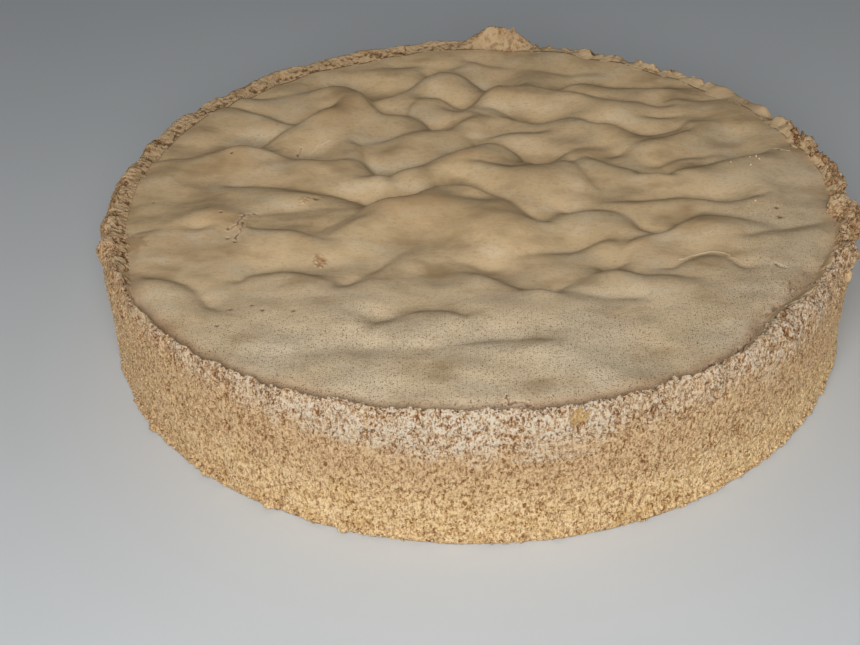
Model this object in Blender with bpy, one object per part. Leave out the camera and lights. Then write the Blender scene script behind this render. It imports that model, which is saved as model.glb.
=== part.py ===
# Mascarpone cake: one round sponge cake, whole, as it comes out of a 26 cm springform tin.
# It is one solid: an upright crumb side, a craggy baked rim and a puckered skin on top.
# The shape is worked out in millimetres and written in metres, +Z up.
# The origin is the middle of the flat base.

import math

import bmesh
import bpy
from mathutils import Vector, noise

METRES_PER_MM = 0.001

# Driving dimensions, mm
TIN_RADIUS = 130.0  # inner radius of the springform tin
FOOT_RADIUS = 128.7  # the side draws in a little towards the base
SKIN_LEVEL = 46.8  # mean height of the baked skin
SHOULDER_DROP = 4.5  # how far the rim's outer edge lies below its crest
GROOVE_DEPTH = 1.4  # the skin dips where it meets the rim
GROOVE_WIDTH = 3.2
CRUMB_SWELL = 0.45  # unevenness of the side
CRUMB_LENGTH = 11.0

# The puckered skin: each fold is a step down from a steep bank that faces away from the
# viewer, and a long bank rises behind it. The crest of the steep bank runs from (x0, y0)
# to (x1, y1), and bows sideways by bow.
FOLD_DEPTH = 1.0  # share of the depths below that the skin really has
VALLEY_SHIFT = 5.0  # the floor lies this far behind the line
VALLEY_ROUNDING = 2.6  # rounds the floor of a fold
STEEP_WIDTH = 4.8
NEAR_BANK = 9.0
FAR_BANK = 10.0
END_FADE = 7.0
WANDER = 1.2  # folds wander sideways this far
WANDER_LENGTH = 16.0
UNEVEN = 0.8  # a fold is deeper in some places than in others
UNEVEN_LENGTH = 15.0
SWELL = 1.2  # the skin swells between the folds
SWELL_LENGTH = 13.0
SWELL_STRETCH = 1.3
FOLDS = [
    # x0, y0, x1, y1, bow, depth
    (-49, 86, -40, 66, -1.5, 2.1),
    (-40, 66, -19, 51, 3.5, 3.4),
    (-104, 66, -76, 57, 3.0, 2.5),
    (-80, 36, -52, 64, 1.5, 2.5),
    (-112, 23, -80, 31, -1.5, 3.0),
    (-80, 27, -54, 23, 1.2, 2.8),
    (-46, 37, -34, 13, -2.0, 2.4),
    (-34, 13, 4, 34, -2.0, 2.7),
    (-25, 64, -4, 70, 8.0, 3.4),
    (-36, 79, -14, 96, -1.0, 3.4),
    (-16, 96, 10, 82, 2.0, 2.0),
    (2, 68, 12, 82, 0.5, 2.4),
    (18, 81, 42, 87, -2.5, 2.3),
    (42, 85, 80, 80, 3.2, 2.1),
    (32, 77, 70, 66, -1.0, 2.9),
    (15, 56, 52, 48, 3.2, 2.5),
    (56, 28, 80, 42, 1.2, 2.2),
    (70, 55, 84, 54, 0.5, 2.2),
    (4, 41, 24, 44, 1.0, 2.2),
    (2, 35, 20, 21, 2.5, 2.1),
    (20, 21, 48, 32, 0.5, 3.0),
    (2, 17, 32, 20, -4.0, 2.0),
    (44, 21, 65, 9, -1.0, 2.0),
    (66, 11, 102, 23, -1.0, 2.4),
    (69, 20, 84, 23, 1.0, 2.0),
    (-56, -2, -29, -7, 2.5, 2.6),
    (-30, -8, -9, 4, -1.0, 3.8),
    (-10, 3, 19, -19, 3.0, 5.0),
    (51, -10, 92, -9, 3.0, 2.7),
    (32, -14, 54, -25, 4.5, 2.5),
    (52, -38, 75, -23, 1.0, 2.3),
    (72, -24, 94, -27, 1.5, 2.0),
    (-107, -56, -86, -72, 4.0, 2.0),
]

# Broad hills and hollows of the skin under the folds
HILLS = [
    # x, y, half width across, half width along, rise
    (-40, 93, 18, 8, -4.6),
    (12, 100, 14, 7, -2.6),
    (58, 90, 11, 8, -2.6),
    (27, 62, 8, 9, -3.2),
    (-21, 60, 9, 8, -2.4),
    (-42, 52, 7, 8, -2.4),
    (-85, 48, 10, 7, -3.0),
    (-61, 36, 10, 9, -3.6),
    (95, 42, 12, 9, -3.0),
    (50, 30, 8, 8, -2.2),
    (-39, 1, 13, 6, -3.2),
    (3, -5, 8, 5, -2.4),
    (-17, -29, 12, 7, -2.5),
    (-11, -51, 9, 8, -3.6),
    (12, -45, 13, 9, -4.0),
    (32, -30, 9, 9, -2.4),
    (-66, -44, 11, 6, -2.2),
    (-48, 71, 10, 8, 2.8),
    (-57, 58, 8, 7, 2.3),
    (-86, 29, 10, 7, 3.0),
    (18, 5, 14, 9, 3.6),
    (-22, 16, 10, 7, 2.1),
    (-1, 23, 7, 8, 2.6),
    (6, -25, 10, 8, 3.0),
    (-13, -12, 12, 7, 2.0),
    (-90, -18, 13, 9, 2.6),
    (-58, -28, 12, 8, 2.2),
    (82, -30, 9, 8, 2.8),
    (25, -92, 12, 9, 2.0),
]

# The rim, by bearing in degrees anticlockwise from +X:
# radius where the skin ends, height of the crest, and how craggy it is from 0 to 1.
RIM_STOPS = [
    (-90, 124.0, 49.0, 0.20),
    (-66, 125.0, 49.3, 0.30),
    (-53, 124.5, 49.6, 0.50),
    (-40, 118.5, 50.2, 0.60),
    (-27, 120.5, 49.8, 0.90),
    (-12, 123.5, 49.6, 1.00),
    (3, 123.0, 49.8, 1.00),
    (18, 121.5, 49.8, 1.00),
    (32, 121.0, 47.4, 0.90),
    (65, 121.0, 47.2, 0.80),
    (76, 121.0, 46.6, 0.50),
    (96, 120.0, 48.6, 0.15),
    (120, 119.0, 48.2, 0.30),
    (150, 119.0, 47.8, 0.45),
    (180, 119.5, 47.6, 0.50),
    (198, 120.0, 48.2, 0.60),
    (214, 126.0, 48.6, 0.50),
    (235, 126.5, 48.8, 0.40),
    (255, 125.0, 48.9, 0.30),
]
CRAG_HEIGHT = 2.6  # rise and fall of the craggiest stretch
CRAG_LENGTH = 6.5
CRAG_LEAN = 1.4  # how far crags lean in or out

# Single crags and clefts of the rim: bearing, half width in degrees, rise, outward lean.
CRAGS = [
    (86.0, 6.5, 8.0, 0.0),
    (81.3, 4.6, 4.3, 0.0),
    (76.8, 1.8, -0.6, 0.0),
    (68.2, 2.2, 1.0, 0.0),
    (59.4, 1.8, -1.6, 0.0),
    (38.0, 4.0, 0.8, 0.4),
    (26.5, 2.4, -3.0, -0.6),
    (8.0, 4.0, 0.8, 0.8),
    (-7.0, 2.6, 1.0, 3.0),
    (-12.0, 2.2, 0.6, 2.4),
    (-38.0, 9.0, 0.8, 0.0),
    (195.0, 2.5, 0.8, 1.8),
]

# How finely the solid is cut up
GRID_CELLS = 64  # cells across the top; half of them are rings
LIP_RINGS = 4  # the outermost rings make the rim
SIDE_ROWS = 6
SKIN_RINGS = GRID_CELLS // 2 - LIP_RINGS


def smooth_step(value):
    share = min(max(value, 0.0), 1.0)
    return share * share * (3.0 - 2.0 * share)


def wander(x, y, length, layer):
    return noise.noise(Vector((x / length, y / length, 7.3 * layer)))


def rim_at(bearing):
    # Skin radius, crest height and cragginess at a bearing, eased between the stops
    turned = (bearing - RIM_STOPS[0][0]) % 360.0 + RIM_STOPS[0][0]
    stops = RIM_STOPS + [(RIM_STOPS[0][0] + 360.0, *RIM_STOPS[0][1:])]
    for start, end in zip(stops, stops[1:]):
        if turned <= end[0]:
            share = smooth_step((turned - start[0]) / (end[0] - start[0]))
            return [a + (b - a) * share for a, b in zip(start[1:], end[1:])]
    return list(stops[0][1:])


def crag_at(bearing):
    # Rise and outward lean of the single crags and clefts at a bearing
    rise = 0.0
    lean = 0.0
    for middle, half_width, crag_rise, crag_lean in CRAGS:
        apart = abs((bearing - middle + 180.0) % 360.0 - 180.0)
        share = smooth_step(1.0 - apart / half_width)
        rise += crag_rise * share
        lean += crag_lean * share
    return rise, lean


def fold_relief(x, y):
    # Swell of the skin, its hills and the depth of every fold at one point
    wide = x / SWELL_STRETCH
    height = SWELL * wander(wide, y, SWELL_LENGTH, 8)
    height += 0.35 * SWELL * wander(wide, y, 0.55 * SWELL_LENGTH, 9)
    for hill_x, hill_y, across, along, rise in HILLS:
        reach = ((x - hill_x) / across) ** 2 + ((y - hill_y) / along) ** 2
        height += rise * math.exp(-reach)
    strength = 0.9 + UNEVEN * wander(x, y, UNEVEN_LENGTH, 10)
    strength = FOLD_DEPTH * min(max(strength, 0.25), 1.6)
    x += WANDER * wander(x, y, WANDER_LENGTH, 1)
    y += WANDER * wander(x, y, WANDER_LENGTH, 2)
    for x0, y0, x1, y1, bow, depth in FOLDS:
        length = math.hypot(x1 - x0, y1 - y0)
        along = ((x - x0) * (x1 - x0) + (y - y0) * (y1 - y0)) / length
        across = ((y - y0) * (x1 - x0) - (x - x0) * (y1 - y0)) / length
        share = min(max(along / length, 0.0), 1.0)
        past_end = max(-along, along - length, 0.0) / END_FADE
        side = across - 4.0 * bow * share * (1.0 - share) - VALLEY_SHIFT
        reach = math.hypot(side, VALLEY_ROUNDING) - VALLEY_ROUNDING
        bank = FAR_BANK
        step = 0.0
        if side <= 0.0:
            bank = NEAR_BANK
            step = 2.0 - 2.0 * math.exp(-reach / STEEP_WIDTH)
        height += strength * depth * (step - 1.0) * math.exp(-reach / bank - past_end**2)
    return height


def skin_height(x, y, skin_radius):
    to_edge = skin_radius - math.hypot(x, y)
    groove = GROOVE_DEPTH * math.exp(-((to_edge / GROOVE_WIDTH) ** 2))
    return SKIN_LEVEL + fold_relief(x, y) - groove


def disc_place(across, along):
    # Concentric map: a point of the unit square to its ring, 0 to 1, and its bearing
    if across == 0.0 and along == 0.0:
        return 0.0, 0.0
    if abs(across) > abs(along):
        ring = across
        bearing = math.pi / 4.0 * along / across
    else:
        ring = along
        bearing = math.pi / 2.0 - math.pi / 4.0 * across / along
    if ring < 0.0:
        ring = -ring
        bearing += math.pi
    return ring, bearing


def top_point(ring, bearing):
    # A point of the skin or of the rim, in millimetres
    turn = math.degrees(bearing)
    skin_radius, crest, craggy = rim_at(turn)
    ring_number = ring * GRID_CELLS / 2.0
    if ring_number <= SKIN_RINGS + 0.001:
        radius = skin_radius * ring_number / SKIN_RINGS
        x = radius * math.cos(bearing)
        y = radius * math.sin(bearing)
        return Vector((x, y, skin_height(x, y, skin_radius)))
    share = (ring_number - SKIN_RINGS) / LIP_RINGS
    rise, lean = crag_at(turn)
    radius = skin_radius + (TIN_RADIUS - skin_radius) * share
    x = radius * math.cos(bearing)
    y = radius * math.sin(bearing)
    radius += craggy * CRAG_LEAN * wander(x, y, CRAG_LENGTH, 3) + lean * share
    groove_floor = skin_height(x, y, radius)
    crest += rise + craggy * CRAG_HEIGHT * wander(x, y, CRAG_LENGTH, 4)
    height = groove_floor + (crest - groove_floor) * smooth_step(share / 0.4)
    height -= SHOULDER_DROP * max(0.0, (share - 0.5) / 0.5) ** 2
    return Vector((radius * math.cos(bearing), radius * math.sin(bearing), height))


def side_point(rim_point, share):
    # A point of the side below a point of the rim: share 0 at the rim, 1 at the base
    bearing = math.atan2(rim_point.y, rim_point.x)
    height = rim_point.z * (1.0 - share)
    rim_radius = math.hypot(rim_point.x, rim_point.y)
    below = smooth_step(share * SIDE_ROWS / 2.0)
    radius = rim_radius + (TIN_RADIUS - rim_radius) * below
    radius += (FOOT_RADIUS - TIN_RADIUS) * share
    place = Vector((rim_point.x, rim_point.y, height)) / CRUMB_LENGTH
    radius += CRUMB_SWELL * noise.noise(place)
    return Vector((radius * math.cos(bearing), radius * math.sin(bearing), height))


def point_above(vert, rim_points):
    # The point of the row above: one neighbour of a new vertex is the vertex it came from
    for edge in vert.link_edges:
        upper = edge.other_vert(vert)
        if upper in rim_points:
            return rim_points[upper]
    raise ValueError("a vertex of the side has nothing above it")


def make_cake_mesh():
    cake = bmesh.new()
    bmesh.ops.create_grid(cake, x_segments=GRID_CELLS, y_segments=GRID_CELLS, size=1.0)
    for vert in cake.verts:
        vert.co = top_point(*disc_place(vert.co.x, vert.co.y))
    rim_edges = [edge for edge in cake.edges if edge.is_boundary]
    rim_points = {vert: vert.co.copy() for edge in rim_edges for vert in edge.verts}
    for row in range(1, SIDE_ROWS + 1):
        made = bmesh.ops.extrude_edge_only(cake, edges=rim_edges)["geom"]
        rim_edges = [e for e in made if isinstance(e, bmesh.types.BMEdge) and e.is_boundary]
        lower = [v for v in made if isinstance(v, bmesh.types.BMVert)]
        next_points = {}
        for vert in lower:
            rim_point = point_above(vert, rim_points)
            next_points[vert] = rim_point
            vert.co = side_point(rim_point, row / SIDE_ROWS)
        rim_points = next_points
    bmesh.ops.edgeloop_fill(cake, edges=rim_edges)
    bmesh.ops.scale(cake, vec=(METRES_PER_MM,) * 3, verts=cake.verts)
    bmesh.ops.recalc_face_normals(cake, faces=cake.faces)
    mesh = bpy.data.meshes.new("cake")
    cake.to_mesh(mesh)
    cake.free()
    return mesh


def make_sponge_material():
    sponge = bpy.data.materials.new("baked_sponge")
    sponge.use_nodes = True
    shader = sponge.node_tree.nodes["Principled BSDF"]
    shader.inputs["Base Color"].default_value = (0.50, 0.36, 0.20, 1.0)
    shader.inputs["Roughness"].default_value = 0.85
    shader.inputs["Metallic"].default_value = 0.0
    return sponge


def main():
    for old in list(bpy.data.objects):
        bpy.data.objects.remove(old)
    collection = bpy.data.collections.new("mascarpone_cake")
    bpy.context.scene.collection.children.link(collection)
    mesh = make_cake_mesh()
    mesh.materials.append(make_sponge_material())
    mesh.shade_smooth()
    collection.objects.link(bpy.data.objects.new("cake", mesh))


main()
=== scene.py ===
# Mascarpone cake: a whole round sponge with an open crumb side, a craggy rim and a puckered skin
import math

import bmesh
import bpy
import numpy as np
from mathutils import Matrix, Vector, noise


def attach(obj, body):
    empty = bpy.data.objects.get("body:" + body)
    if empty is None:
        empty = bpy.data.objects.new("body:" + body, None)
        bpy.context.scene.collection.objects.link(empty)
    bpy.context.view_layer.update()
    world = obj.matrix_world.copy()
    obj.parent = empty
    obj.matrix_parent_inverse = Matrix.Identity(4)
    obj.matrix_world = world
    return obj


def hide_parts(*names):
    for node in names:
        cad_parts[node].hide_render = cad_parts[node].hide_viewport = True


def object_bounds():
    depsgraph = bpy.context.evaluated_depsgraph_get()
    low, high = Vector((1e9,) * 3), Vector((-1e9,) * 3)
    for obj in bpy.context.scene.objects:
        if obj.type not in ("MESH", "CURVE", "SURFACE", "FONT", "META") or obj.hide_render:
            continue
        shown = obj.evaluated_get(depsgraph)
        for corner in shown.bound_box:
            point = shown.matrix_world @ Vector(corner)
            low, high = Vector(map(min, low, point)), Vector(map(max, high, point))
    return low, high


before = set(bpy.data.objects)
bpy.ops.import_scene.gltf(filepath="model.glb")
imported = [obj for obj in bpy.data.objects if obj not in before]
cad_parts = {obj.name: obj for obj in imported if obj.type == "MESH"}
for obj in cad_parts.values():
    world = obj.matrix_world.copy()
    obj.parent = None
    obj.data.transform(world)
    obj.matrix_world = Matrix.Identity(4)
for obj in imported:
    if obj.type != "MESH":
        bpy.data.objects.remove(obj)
cadLow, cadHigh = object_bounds()
print("frame loaded")

mm = 0.001  # the shape is worked out in millimetres

# The form, which the solid has too
cakeForm = {
    "tinRadius": 130.0,
    "footRadius": 128.7,
    "wallTop": 44.5,
    "skinLevel": 46.8,
    "shoulderDrop": 4.5,
    "grooveDepth": 1.4,
    "grooveWidth": 3.2,
    "swell": 0.45,
    "swellLength": 11.0,
    "cragHeight": 2.6,
    "cragLength": 6.5,
    "cragLean": 1.4,
}

# The rim by bearing, anticlockwise from +X: where the skin ends, crest height, cragginess
rimStops = np.array([
    (-90, 124, 49, 0.2), (-66, 125, 49.3, 0.3), (-53, 124.5, 49.6, 0.5),
    (-40, 118.5, 50.2, 0.6), (-27, 120.5, 49.8, 0.9), (-12, 123.5, 49.6, 1),
    (3, 123, 49.8, 1), (18, 121.5, 49.8, 1), (32, 121, 47.4, 0.9),
    (65, 121, 47.2, 0.8), (76, 121, 46.6, 0.5), (96, 120, 48.6, 0.15),
    (120, 119, 48.2, 0.3), (150, 119, 47.8, 0.45), (180, 119.5, 47.6, 0.5),
    (198, 120, 48.2, 0.6), (214, 126, 48.6, 0.5), (235, 126.5, 48.8, 0.4),
    (255, 125, 48.9, 0.3), (270, 124, 49, 0.2),
])

# Single crags and clefts: bearing, half width in degrees, rise, outward lean
crags = [
    (86, 6.5, 8, 0), (81.3, 4.6, 4.3, 0), (76.8, 1.8, -0.6, 0), (68.2, 2.2, 1, 0),
    (59.4, 1.8, -1.6, 0), (38, 4, 0.8, 0.4), (26.5, 2.4, -3, -0.6), (8, 4, 0.8, 0.8),
    (-7, 2.6, 1, 3), (-12, 2.2, 0.6, 2.4), (-38, 9, 0.8, 0), (195, 2.5, 0.8, 1.8),
]

# Cracks and spikes that are too fine for the solid
fineCrags = [
    (82.2, 0.6, 1.6, 0), (83.2, 0.6, -0.5, 0), (77.6, 0.45, 1.9, 0), (74.9, 1.2, 0.6, 0),
    (71, 0.9, -0.9, 0), (64.2, 0.8, -1, 0), (62, 1.1, 0.9, 0), (57.2, 0.9, 1.5, 0),
    (54.3, 0.6, 1.2, 0), (66.3, 0.8, -0.8, 0), (52.5, 0.7, -1.2, -0.6), (45.5, 0.8, 0.9, 0.5),
    (43, 0.7, -1.6, -0.6), (22, 0.9, -1.4, -0.6), (14.5, 0.8, -1.5, -0.8),
]

# Folds of the skin: x0, y0, x1, y1, sideways bow, depth. The shallow ones are only in the skin.
foldForm = {
    "depth": 1.0,
    "valleyShift": 5.0,  # the valley lies this far behind the line that is seen
    "valleyRounding": 1.8,
    "steepWidth": 3.8,  # the near bank stands up within this
    "nearBank": 9.0,
    "farBank": 10.0,
    "endFade": 7.0,
    "wander": 1.2,
    "wanderLength": 16.0,
    "uneven": 0.8,
    "unevenLength": 15.0,
    "swell": 1.2,
    "swellLength": 13.0,
    "swellStretch": 1.3,  # the low swells are wider than they are deep
}
folds = [
    (-88, 76, -58, 82, -1.5, 1.9), (-58, 82, -40, 81, 2, 1.9), (-49, 86, -40, 66, -1.5, 2.1),
    (-40, 66, -19, 51, 3.5, 3.4), (-104, 66, -76, 57, 3, 2.5), (-80, 36, -52, 64, 1.5, 2.5),
    (-112, 23, -80, 31, -1.5, 3), (-80, 27, -54, 23, 1.2, 2.8), (-46, 37, -34, 13, -2, 2.4),
    (-34, 13, 4, 34, -2, 2.7), (-26, 42, -4, 52, -1, 1.9), (-25, 64, -4, 70, 8, 3.4),
    (-10, 64, 0, 58, 0, 1.7), (-36, 79, -14, 96, -1, 3.4), (-16, 96, 10, 82, 2, 2),
    (-40, 101, -10, 103, 2, 1.4), (0, 108, 48, 96, -2.5, 1.2), (8, 81, 22, 85, 0, 1.5),
    (2, 68, 12, 82, 0.5, 2.4), (18, 81, 42, 87, -2.5, 2.3), (42, 85, 80, 80, 3.2, 2.1),
    (32, 77, 70, 66, -1, 2.9), (80, 70, 98, 69, -0.6, 1.8), (1, 63, 15, 57, 2.6, 1.8),
    (15, 56, 52, 48, 3.2, 2.5), (52, 50, 82, 51, -7.6, 1.8), (56, 28, 80, 42, 1.2, 2.2),
    (70, 55, 84, 54, 0.5, 2.2), (4, 41, 24, 44, 1, 2.2), (2, 35, 20, 21, 2.5, 2.1),
    (20, 21, 48, 32, 0.5, 3), (2, 17, 32, 20, -4, 2), (32, 21, 38, 8, 0, 1.3),
    (44, 21, 65, 9, -1, 2), (66, 11, 102, 23, -1, 2.4), (69, 20, 84, 23, 1, 2),
    (-84, 2, -56, 0, 1.5, 1.9), (-56, -2, -29, -7, 2.5, 2.6), (-30, -8, -9, 4, -1, 3.8),
    (-10, 3, 19, -19, 3, 5), (51, -10, 92, -9, 3, 2.7), (32, -14, 54, -25, 4.5, 2.5),
    (52, -38, 75, -23, 1, 2.3), (72, -24, 94, -27, 1.5, 2), (93, -35, 113, -28, 0, 1.5),
    (20, -41, 42, -36, 0, 1.5), (-72, -18, -44, -12, 0.5, 1), (-47, -26, -34, -9, -1, 1.5),
    (-74, -28, -52, -35, 1.8, 1.3), (-53, -38, -36, -21, 0.5, 1.1), (-110, -29, -94, -28, 1, 1.8),
    (-14, -48, 2, -50, 2, 0.9), (1, -54, 21, -66, -1.5, 1.3), (20, -65, 47, -51, -2.5, 1.8),
    (43, -53, 61, -60, -1, 1.8), (26, -66, 46, -73, 0, 1.1), (-25, -82, -3, -80, 4, 1.5),
    (-27, -92, -25, -80, 1, 1.3), (-12, -98, 20, -95, 1, 1), (64, -54, 87, -54, 7, 1.3),
    (-75, -59, -52, -56, 6.3, 1.3), (-52, -55, -34, -58, -3, 0.8), (-36, -57, -22, -42, -1, 1.9),
    (-107, -56, -86, -72, 4, 2),
]

# Broad hills and hollows of the skin: x, y, half width across, half width along, rise
hills = [
    (-40, 93, 18, 8, -4.6), (12, 100, 14, 7, -2.6), (58, 90, 11, 8, -2.6),
    (27, 62, 8, 9, -3.2), (14, 51, 8, 6, -1.2), (-21, 60, 9, 8, -2.4),
    (-42, 52, 7, 8, -2.4), (-85, 48, 10, 7, -3), (-61, 36, 10, 9, -3.6),
    (-29, 39, 7, 7, -1.2), (95, 42, 12, 9, -3), (50, 30, 8, 8, -2.2),
    (46, 2, 9, 7, -1.2), (-39, 1, 13, 6, -3.2), (-97, 11, 10, 6, -1.5),
    (3, -5, 8, 5, -2.4), (-17, -29, 12, 7, -2.5), (-11, -51, 9, 8, -3.6),
    (12, -45, 13, 9, -4), (32, -30, 9, 9, -2.4), (-66, -44, 11, 6, -2.2),
    (-43, -43, 8, 8, -1.6), (81, -2, 10, 5, -1.9), (45, -42, 8, 6, -1.9),
    (86, -55, 8, 7, -1), (-48, 71, 10, 8, 2.8), (-57, 58, 8, 7, 2.3),
    (-28, 80, 9, 7, 1.4), (-86, 29, 10, 7, 3), (-14, 91, 9, 8, 1.8),
    (9, 77, 7, 9, 1.6), (40, 77, 9, 9, 1.7), (52, 60, 10, 6, 0.9),
    (18, 5, 14, 9, 3.6), (-22, 16, 10, 7, 2.1), (-1, 23, 7, 8, 2.6),
    (6, -25, 10, 8, 3), (-13, -12, 12, 7, 2), (-33, -16, 12, 8, 1.5),
    (-90, -18, 13, 9, 2.6), (-58, -28, 12, 8, 2.2), (82, -30, 9, 8, 2.8),
    (18, -75, 12, 7, 1.6), (25, -92, 12, 9, 2), (-45, -82, 12, 9, 1.5),
    (-35, -70, 9, 7, 0.9), (-14, -88, 9, 9, 1.7), (60, -62, 15, 8, 1.7),
    (72, 13, 8, 6, 1), (100, 4, 8, 14, 1.9), (50, 48, 10, 8, 1.2),
]


def clipped(value):
    return np.clip(value, 0.0, 1.0)


def smoothStep(value):
    share = clipped(value)
    return share * share * (3.0 - 2.0 * share)


def bell(value):
    return np.exp(-(value**2))


def unit(vectors):
    return vectors / np.linalg.norm(vectors, axis=-1, keepdims=True)


def bearingOf(places):
    # Degrees anticlockwise from +X
    return np.degrees(np.arctan2(places[..., 1], places[..., 0]))


def onCircle(radius, bearing, height):
    return np.stack((radius * np.cos(bearing), radius * np.sin(bearing), height), axis=-1)


def turnApart(turn, middle):
    return (turn - middle + 180.0) % 360.0 - 180.0


def fromFront(turn):
    # The same bearing, counted from -90 at the front round to 270
    return (turn + 90.0) % 360.0 - 90.0


def stopsAt(turn, bearings, values):
    return np.interp(fromFront(turn), bearings, values)


def sampled(pattern, places, length, layer):
    moved = np.asarray(places, float).reshape(-1, 3) / length
    moved[:, 2] += layer
    values = np.array([pattern(place) for place in moved.tolist()])
    return values.reshape(np.shape(places)[:-1])


def noiseAt(places, length, layer):
    # Smooth noise about -0.7 to 0.7 at each place, with bumps about length across
    return sampled(noise.noise, places, length, layer)


def cellDistance(places, length, layer):
    # Distance to the nearest cell centre, 0 to about 1
    return sampled(lambda place: noise.voronoi(place)[0][0], places, length, layer)


def planNoise(x, y, length, layer):
    places = np.stack((x, y, np.zeros_like(x)), axis=-1)
    return noiseAt(places, length, 7.3 * layer)


def rimAt(turn):
    # Skin radius, crest height and cragginess at each bearing in degrees
    turned = fromFront(turn)
    after = np.clip(np.searchsorted(rimStops[:, 0], turned), 1, len(rimStops) - 1)
    start, end = rimStops[after - 1], rimStops[after]
    share = smoothStep((turned - start[..., 0]) / (end[..., 0] - start[..., 0]))
    values = start + (end - start) * share[..., None]
    return values[..., 1], values[..., 2], values[..., 3]


def cragAt(turn):
    rise = np.zeros_like(turn)
    lean = np.zeros_like(turn)
    for middle, halfWidth, cragRise, cragLean in crags + fineCrags:
        share = smoothStep(1.0 - np.abs(turnApart(turn, middle)) / halfWidth)
        rise += cragRise * share
        lean += cragLean * share
    return rise, lean


def foldRelief(x, y):
    form = foldForm
    wide = x / form["swellStretch"]
    height = form["swell"] * planNoise(wide, y, form["swellLength"], 8)
    height += 0.35 * form["swell"] * planNoise(wide, y, 0.55 * form["swellLength"], 9)
    for hillX, hillY, across, along, rise in hills:
        height += rise * np.exp(-(((x - hillX) / across) ** 2) - ((y - hillY) / along) ** 2)
    strength = 0.9 + form["uneven"] * planNoise(x, y, form["unevenLength"], 10)
    strength = form["depth"] * np.clip(strength, 0.25, 1.6)
    x = x + form["wander"] * planNoise(x, y, form["wanderLength"], 1)
    y = y + form["wander"] * planNoise(x, y, form["wanderLength"], 2)
    for x0, y0, x1, y1, bow, depth in folds:
        length = math.hypot(x1 - x0, y1 - y0)
        along = ((x - x0) * (x1 - x0) + (y - y0) * (y1 - y0)) / length
        across = ((y - y0) * (x1 - x0) - (x - x0) * (y1 - y0)) / length
        share = clipped(along / length)
        pastEnd = np.maximum(np.maximum(-along, along - length), 0.0) / form["endFade"]
        side = across - 4.0 * bow * share * (1.0 - share) - form["valleyShift"]
        rounding = form["valleyRounding"]
        reach = np.sqrt(side**2 + rounding**2) - rounding
        bank = np.where(side > 0.0, form["farBank"], form["nearBank"])
        step = np.where(side > 0.0, 0.0, 2.0 - 2.0 * np.exp(-reach / form["steepWidth"]))
        height += strength * depth * (step - 1.0) * np.exp(-reach / bank - pastEnd**2)
    return height


def skinHeight(x, y, skinRadius):
    toEdge = skinRadius - np.hypot(x, y)
    groove = cakeForm["grooveDepth"] * bell(toEdge / cakeForm["grooveWidth"])
    groove = groove * (1.0 - 0.92 * smoothStep((y + 30.0) / 70.0))  # the back has hardly any groove
    return cakeForm["skinLevel"] + foldRelief(x, y) - groove


def toMesh(name, shape):
    mesh = bpy.data.meshes.new(name)
    shape.to_mesh(mesh)
    shape.free()
    return mesh


def openEdges(shape):
    return [edge for edge in shape.edges if edge.is_boundary]


def addObject(name, data):
    item = bpy.data.objects.new(name, data)
    bpy.context.scene.collection.objects.link(item)
    return item


def newPiece(name, mesh, material):
    corners = np.empty(len(mesh.polygons), np.int32)
    mesh.polygons.foreach_get("loop_total", corners)
    mesh.polygons.foreach_set("use_smooth", corners < 8)  # the wide caps stay flat
    mesh.materials.append(material)
    piece = addObject(name, mesh)
    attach(piece, "root")
    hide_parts("cake")


def setValues(mesh, values):
    # Named numbers on the vertices, for the materials
    for name, numbers in values.items():
        layer = mesh.attributes.new(name=name, type="FLOAT", domain="POINT")
        layer.data.foreach_set("value", np.asarray(numbers, np.float32).ravel())


# Shader maths


def toLinear(red, green, blue):
    # A screen colour, 0 to 255, as the shader's linear colour
    parts = [value / 255.0 for value in (red, green, blue)]
    parts = [p / 12.92 if p <= 0.04045 else ((p + 0.055) / 1.055) ** 2.4 for p in parts]
    return (*parts, 1.0)


def linearTints(tints):
    return {name: toLinear(*tint) for name, tint in tints.items()}


class Wire:
    # One shader socket, so that sums on sockets read as sums

    def __init__(self, shader, socket):
        self.shader = shader
        self.socket = socket

    def sum(self, operation, first, second, clamp=False):
        settings = {"operation": operation, "use_clamp": clamp}
        return self.shader.add("Math", settings, {0: first, 1: second})

    def __add__(self, other):
        return self.sum("ADD", self, other)

    def __radd__(self, other):
        return self.sum("ADD", other, self)

    def __sub__(self, other):
        return self.sum("SUBTRACT", self, other)

    def __rsub__(self, other):
        return self.sum("SUBTRACT", other, self)

    def __mul__(self, other):
        return self.sum("MULTIPLY", self, other)

    def __rmul__(self, other):
        return self.sum("MULTIPLY", other, self)

    def clamped(self):
        return self.sum("MULTIPLY", self, 1.0, clamp=True)


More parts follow.
